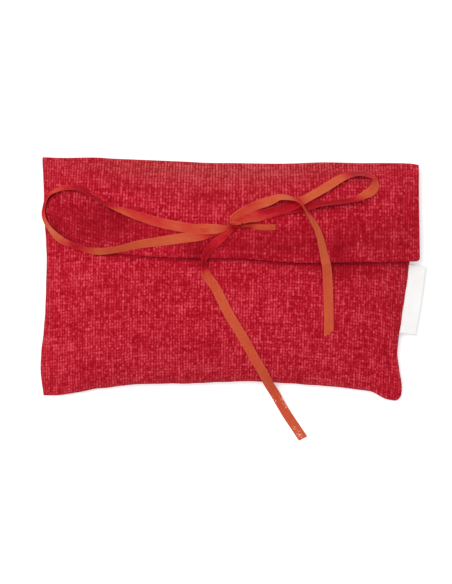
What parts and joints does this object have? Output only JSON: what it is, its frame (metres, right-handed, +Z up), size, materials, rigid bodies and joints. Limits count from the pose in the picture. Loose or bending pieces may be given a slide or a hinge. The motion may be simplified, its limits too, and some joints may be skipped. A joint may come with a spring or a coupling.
{
  "type": "cotton pouch",
  "caption": "Small flat cotton envelope pouch, puffed, with a fold-over flap tied by a satin ribbon bow and a folded side tape.",
  "frame": {"origin": "middle of the underside, on the flat face that the pouch rests on", "axes": "+X to the right along the crease, +Y from the bottom fold to the top crease, +Z up out of the front, pouch lying on its back"},
  "size_m": [0.1225, 0.0895, 0.0199],
  "materials": {
    "red_cotton": "slubby plain-weave cotton, matt, with lighter pink slub threads",
    "lining_cotton": "plain cotton, matt",
    "orange_satin": "double-faced satin ribbon, soft sheen",
    "white_tape": "white satin tape, bare"
  },
  "bodies": {
    "pouch": {"back_panel": "red_cotton", "front_panel": "red_cotton", "mouth_hem": "red_cotton", "side_seam_left": "red_cotton", "side_seam_right": "red_cotton"},
    "flap": {"flap_outer": "red_cotton", "flap_lining": "lining_cotton", "ribbon_band": "orange_satin", "ribbon_knot": "orange_satin", "ribbon_loop_left": "orange_satin", "ribbon_loop_right": "orange_satin", "ribbon_tail_short": "orange_satin", "ribbon_tail_long": "orange_satin"},
    "tape": {"side_tape": "white_tape"}
  },
  "joints": [
    {"name": "flap_hinge", "type": "hinge", "parent": "pouch", "child": "flap", "pos_m": [0, 0.038, 0.00375], "axis": [-1, 0, 0], "range_deg": [0, 145]},
    {"name": "tape_fold", "type": "hinge", "parent": "pouch", "child": "tape", "pos_m": [0.05423, -0.01645, 0.00334], "axis": [-0.1238, -0.9922, -0.0158], "range_deg": [0, 90]}
  ]
}
